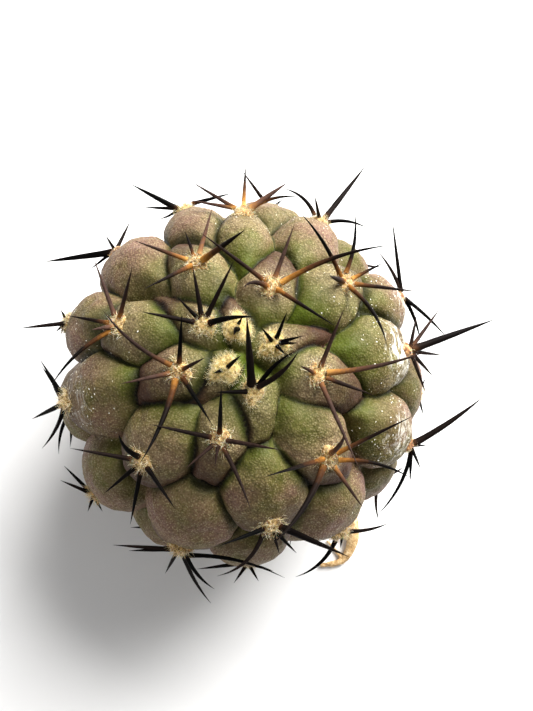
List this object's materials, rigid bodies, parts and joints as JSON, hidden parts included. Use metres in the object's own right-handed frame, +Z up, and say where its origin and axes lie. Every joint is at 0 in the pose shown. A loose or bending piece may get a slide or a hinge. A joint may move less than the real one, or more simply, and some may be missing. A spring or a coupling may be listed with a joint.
{
  "type": "copiapoa cactus",
  "caption": "Small globular copiapoa cactus with brown-green tubercles and dark curved spines, standing bare-rooted on its dried root crown.",
  "frame": {"origin": "middle of the root crown's flat foot, on the surface that the plant stands on", "axes": "+Z up the plant's axis to its crown; +X and +Y lie in the surface, and the reference view looks down from the -Y side with +X to the right"},
  "size_m": [0.0698, 0.0688, 0.061],
  "materials": {
    "skin": "satin waxy skin, olive green with purple-brown chins and a grey bloom",
    "spines": "horny near-black spines with amber bases, in cream felt",
    "dried_root": "matt dry tan bark"
  },
  "bodies": {
    "root": {"stem": "skin", "root": "dried_root", "areole_01": "spines", "areole_02": "spines", "areole_03": "spines", "areole_04": "spines", "areole_05": "spines", "areole_06": "spines", "areole_07": "spines", "areole_08": "spines", "areole_09": "spines", "areole_10": "spines", "areole_11": "spines", "areole_12": "spines", "areole_13": "spines", "areole_14": "spines", "areole_15": "spines", "areole_16": "spines", "areole_17": "spines", "areole_18": "spines", "areole_19": "spines", "areole_20": "spines", "areole_21": "spines", "areole_22": "spines", "areole_23": "spines", "areole_24": "spines", "areole_25": "spines", "areole_26": "spines", "areole_27": "spines", "areole_28": "spines", "areole_29": "spines", "areole_30": "spines", "areole_31": "spines", "areole_32": "spines", "areole_33": "spines", "areole_34": "spines", "areole_35": "spines", "areole_36": "spines", "areole_37": "spines", "areole_38": "spines", "areole_39": "spines", "areole_40": "spines", "areole_41": "spines", "areole_42": "spines", "areole_43": "spines", "areole_44": "spines"}
  },
  "joints": []
}
